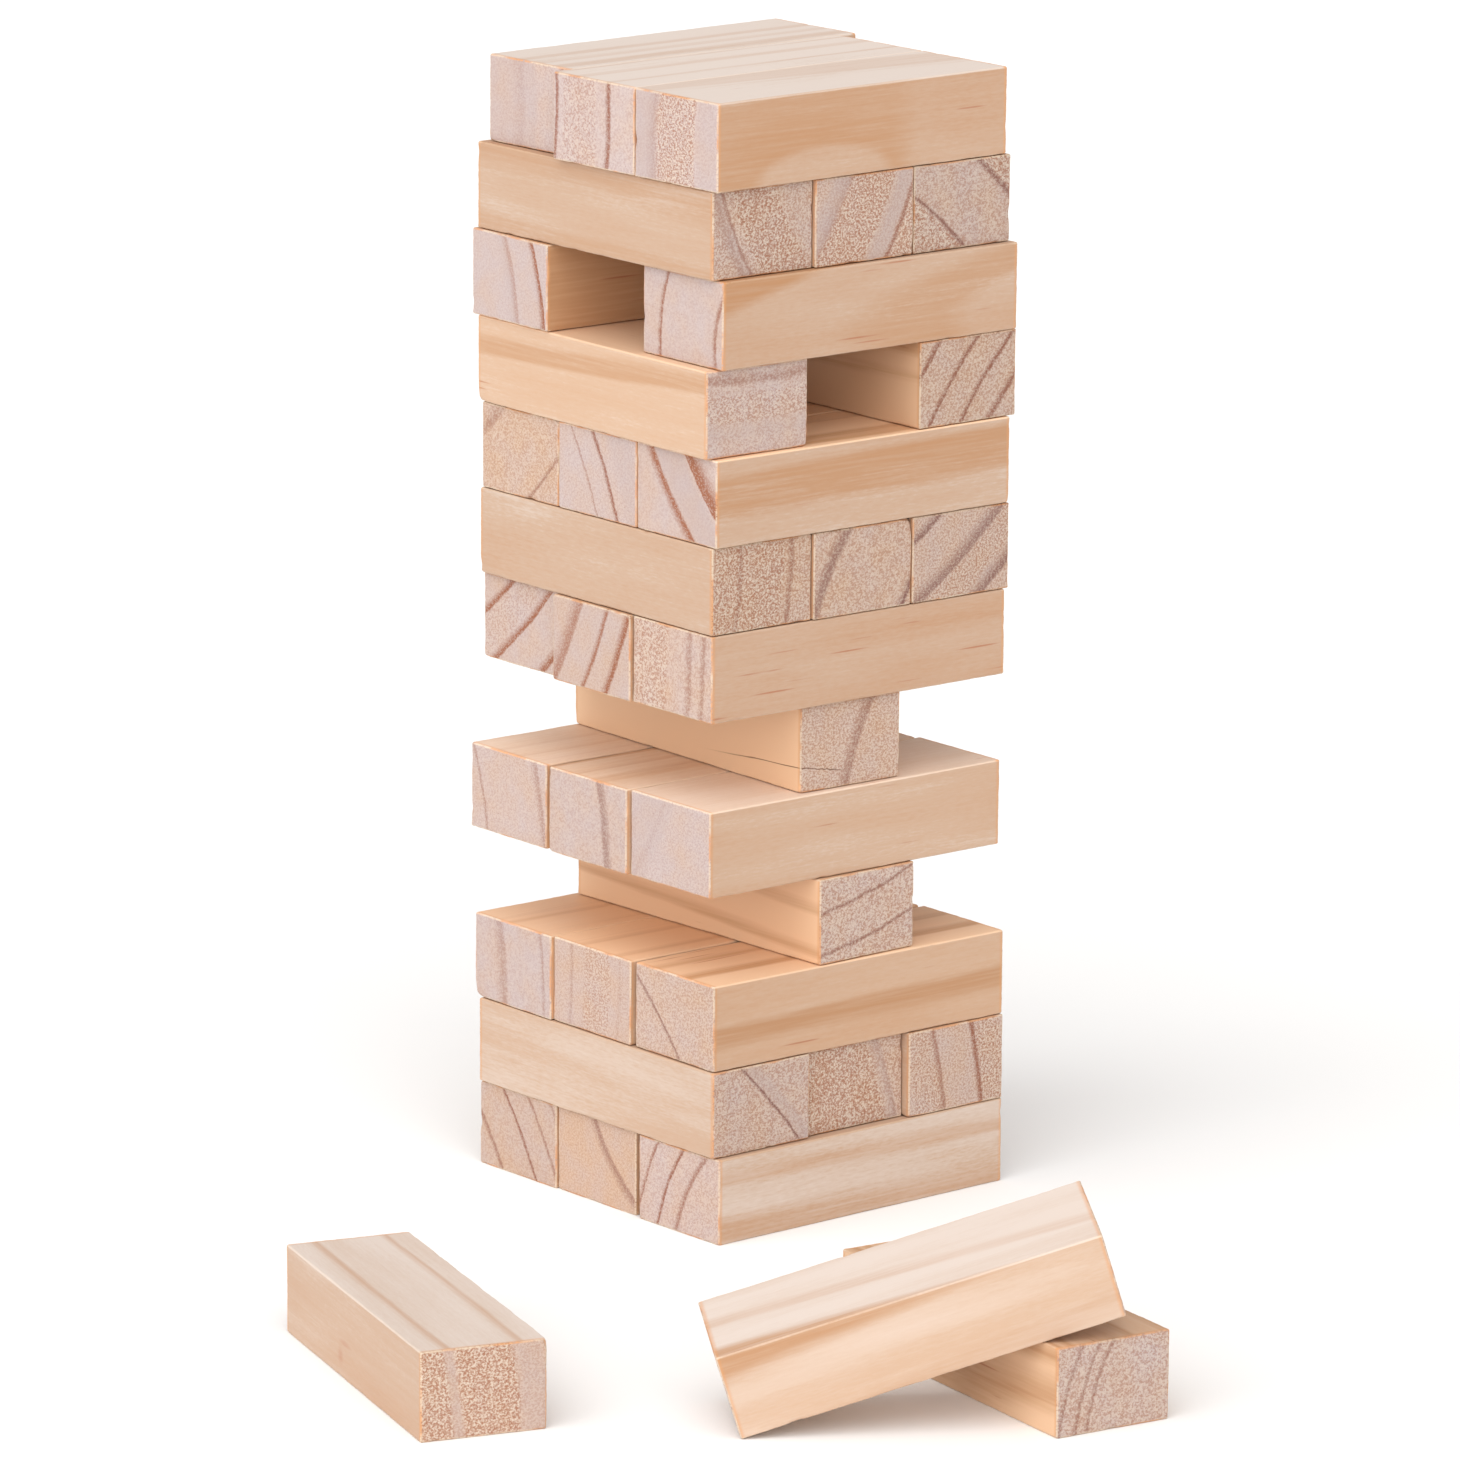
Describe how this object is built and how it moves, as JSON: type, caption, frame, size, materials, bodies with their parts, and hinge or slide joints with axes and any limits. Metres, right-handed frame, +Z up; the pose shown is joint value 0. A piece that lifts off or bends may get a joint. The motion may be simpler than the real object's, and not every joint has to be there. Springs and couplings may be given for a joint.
{
  "type": "tumbling tower game",
  "caption": "Giant stacking tower of plain pine blocks in crosswise levels, part way through play, with drawn slots open and loose blocks lying in front.",
  "frame": {"origin": "on the floor under the middle of the tower, on the underside of the middle block of the bottom level", "axes": "+Z up the tower; the blocks of odd levels lie along X and those of even levels along Y; the loose blocks lie in front, towards -X and -Y"},
  "size_m": [0.4807, 0.5265, 0.5496],
  "materials": {
    "pine_cream": "bare, finely sanded pine, pale cream sapwood",
    "pine_honey": "bare, finely sanded pine with honey-coloured latewood bands",
    "pine_rose": "bare, finely sanded pine, slightly pink heartwood"
  },
  "bodies": {
    "level_01_back": {"level_01_back": "pine_rose"},
    "tower_base": {"level_01_middle": "pine_honey"},
    "level_01_front": {"level_01_front": "pine_rose"},
    "level_02_left": {"level_02_left": "pine_cream"},
    "level_02_middle": {"level_02_middle": "pine_honey"},
    "level_02_right": {"level_02_right": "pine_rose"},
    "level_03_back": {"level_03_back": "pine_cream"},
    "level_03_middle": {"level_03_middle": "pine_cream"},
    "level_03_front": {"level_03_front": "pine_honey"},
    "level_04_middle": {"level_04_middle": "pine_honey"},
    "level_05_back": {"level_05_back": "pine_cream"},
    "level_05_middle": {"level_05_middle": "pine_rose"},
    "level_05_front": {"level_05_front": "pine_cream"},
    "level_06_middle": {"level_06_middle": "pine_honey"},
    "level_07_back": {"level_07_back": "pine_rose"},
    "level_07_middle": {"level_07_middle": "pine_rose"},
    "level_07_front": {"level_07_front": "pine_honey"},
    "level_08_left": {"level_08_left": "pine_honey"},
    "level_08_middle": {"level_08_middle": "pine_rose"},
    "level_08_right": {"level_08_right": "pine_rose"},
    "level_09_back": {"level_09_back": "pine_rose"},
    "level_09_middle": {"level_09_middle": "pine_cream"},
    "level_09_front": {"level_09_front": "pine_honey"},
    "level_10_left": {"level_10_left": "pine_cream"},
    "level_10_right": {"level_10_right": "pine_rose"},
    "level_11_back": {"level_11_back": "pine_rose"},
    "level_11_front": {"level_11_front": "pine_honey"},
    "level_12_left": {"level_12_left": "pine_honey"},
    "level_12_middle": {"level_12_middle": "pine_rose"},
    "level_12_right": {"level_12_right": "pine_rose"},
    "level_13_back": {"level_13_back": "pine_cream"},
    "level_13_middle": {"level_13_middle": "pine_cream"},
    "level_13_front": {"level_13_front": "pine_honey"},
    "loose_block_left": {"loose_block_left": "pine_cream"},
    "loose_block_right": {"loose_block_right": "pine_honey"},
    "loose_block_leaning": {"loose_block_leaning": "pine_cream"}
  },
  "joints": [
    {"name": "level_01_back_draw", "type": "slide", "parent": "tower_base", "child": "level_01_back", "axis": [1, 0.0087, 0], "range_m": [-0.185, 0.185]},
    {"name": "level_01_front_draw", "type": "slide", "parent": "tower_base", "child": "level_01_front", "axis": [0.9998, 0.0209, 0], "range_m": [-0.185, 0.185]},
    {"name": "level_02_left_draw", "type": "slide", "parent": "tower_base", "child": "level_02_left", "axis": [-0.0122, 0.9999, 0], "range_m": [-0.185, 0.185]},
    {"name": "level_02_middle_draw", "type": "slide", "parent": "tower_base", "child": "level_02_middle", "axis": [-0.0122, 0.9999, 0], "range_m": [-0.185, 0.185]},
    {"name": "level_02_right_draw", "type": "slide", "parent": "tower_base", "child": "level_02_right", "axis": [-0.0122, 0.9999, 0], "range_m": [-0.185, 0.185]},
    {"name": "level_03_back_draw", "type": "slide", "parent": "tower_base", "child": "level_03_back", "axis": [1, -0.0017, 0], "range_m": [-0.185, 0.185]},
    {"name": "level_03_middle_draw", "type": "slide", "parent": "tower_base", "child": "level_03_middle", "axis": [1, -0.0017, 0], "range_m": [-0.185, 0.185]},
    {"name": "level_03_front_draw", "type": "slide", "parent": "tower_base", "child": "level_03_front", "axis": [1, -0.0017, 0], "range_m": [-0.185, 0.185]},
    {"name": "level_04_middle_draw", "type": "slide", "parent": "tower_base", "child": "level_04_middle", "axis": [-0.0349, 0.9994, 0], "range_m": [-0.185, 0.185]},
    {"name": "level_05_back_draw", "type": "slide", "parent": "tower_base", "child": "level_05_back", "axis": [1, -0.007, 0], "range_m": [-0.185, 0.185]},
    {"name": "level_05_middle_draw", "type": "slide", "parent": "tower_base", "child": "level_05_middle", "axis": [1, 0, 0], "range_m": [-0.185, 0.185]},
    {"name": "level_05_front_draw", "type": "slide", "parent": "tower_base", "child": "level_05_front", "axis": [1, 0.0017, 0], "range_m": [-0.185, 0.185]},
    {"name": "level_06_middle_draw", "type": "slide", "parent": "tower_base", "child": "level_06_middle", "axis": [0.0244, 0.9997, 0], "range_m": [-0.185, 0.185]},
    {"name": "level_07_back_draw", "type": "slide", "parent": "tower_base", "child": "level_07_back", "axis": [1, -0.007, 0], "range_m": [-0.185, 0.185]},
    {"name": "level_07_middle_draw", "type": "slide", "parent": "tower_base", "child": "level_07_middle", "axis": [1, -0.007, 0], "range_m": [-0.185, 0.185]},
    {"name": "level_07_front_draw", "type": "slide", "parent": "tower_base", "child": "level_07_front", "axis": [1, -0.007, 0], "range_m": [-0.185, 0.185]},
    {"name": "level_08_left_draw", "type": "slide", "parent": "tower_base", "child": "level_08_left", "axis": [0.0035, 1, 0], "range_m": [-0.185, 0.185]},
    {"name": "level_08_middle_draw", "type": "slide", "parent": "tower_base", "child": "level_08_middle", "axis": [0.0035, 1, 0], "range_m": [-0.185, 0.185]},
    {"name": "level_08_right_draw", "type": "slide", "parent": "tower_base", "child": "level_08_right", "axis": [0.0035, 1, 0], "range_m": [-0.185, 0.185]},
    {"name": "level_09_back_draw", "type": "slide", "parent": "tower_base", "child": "level_09_back", "axis": [1, -0.0035, 0], "range_m": [-0.185, 0.185]},
    {"name": "level_09_middle_draw", "type": "slide", "parent": "tower_base", "child": "level_09_middle", "axis": [1, -0.0035, 0], "range_m": [-0.185, 0.185]},
    {"name": "level_09_front_draw", "type": "slide", "parent": "tower_base", "child": "level_09_front", "axis": [1, -0.0035, 0], "range_m": [-0.185, 0.185]},
    {"name": "level_10_left_draw", "type": "slide", "parent": "tower_base", "child": "level_10_left", "axis": [0.0175, 0.9998, 0], "range_m": [-0.185, 0.185]},
    {"name": "level_10_right_draw", "type": "slide", "parent": "tower_base", "child": "level_10_right", "axis": [-0.0035, 1, 0], "range_m": [-0.185, 0.185]},
    {"name": "level_11_back_draw", "type": "slide", "parent": "tower_base", "child": "level_11_back", "axis": [0.9997, -0.0227, 0], "range_m": [-0.185, 0.185]},
    {"name": "level_11_front_draw", "type": "slide", "parent": "tower_base", "child": "level_11_front", "axis": [1, -0.0052, 0], "range_m": [-0.185, 0.185]},
    {"name": "level_12_left_draw", "type": "slide", "parent": "tower_base", "child": "level_12_left", "axis": [0, 1, 0], "range_m": [-0.185, 0.185]},
    {"name": "level_12_middle_draw", "type": "slide", "parent": "tower_base", "child": "level_12_middle", "axis": [0, 1, 0], "range_m": [-0.185, 0.185]},
    {"name": "level_12_right_draw", "type": "slide", "parent": "tower_base", "child": "level_12_right", "axis": [0, 1, 0], "range_m": [-0.185, 0.185]},
    {"name": "level_13_back_lift", "type": "slide", "parent": "tower_base", "child": "level_13_back", "axis": [0, 0, 1], "range_m": [0, 0.1]},
    {"name": "level_13_middle_lift", "type": "slide", "parent": "tower_base", "child": "level_13_middle", "axis": [0, 0, 1], "range_m": [0, 0.1]},
    {"name": "level_13_front_lift", "type": "slide", "parent": "tower_base", "child": "level_13_front", "axis": [0, 0, 1], "range_m": [0, 0.1]},
    {"name": "loose_block_left_lift", "type": "slide", "parent": "tower_base", "child": "loose_block_left", "axis": [0, 0, 1], "range_m": [0, 0.1]},
    {"name": "loose_block_right_lift", "type": "slide", "parent": "tower_base", "child": "loose_block_right", "axis": [0, 0, 1], "range_m": [0, 0.1]},
    {"name": "loose_block_leaning_lift", "type": "slide", "parent": "loose_block_right", "child": "loose_block_leaning", "axis": [0, 0, 1], "range_m": [0, 0.1]}
  ]
}
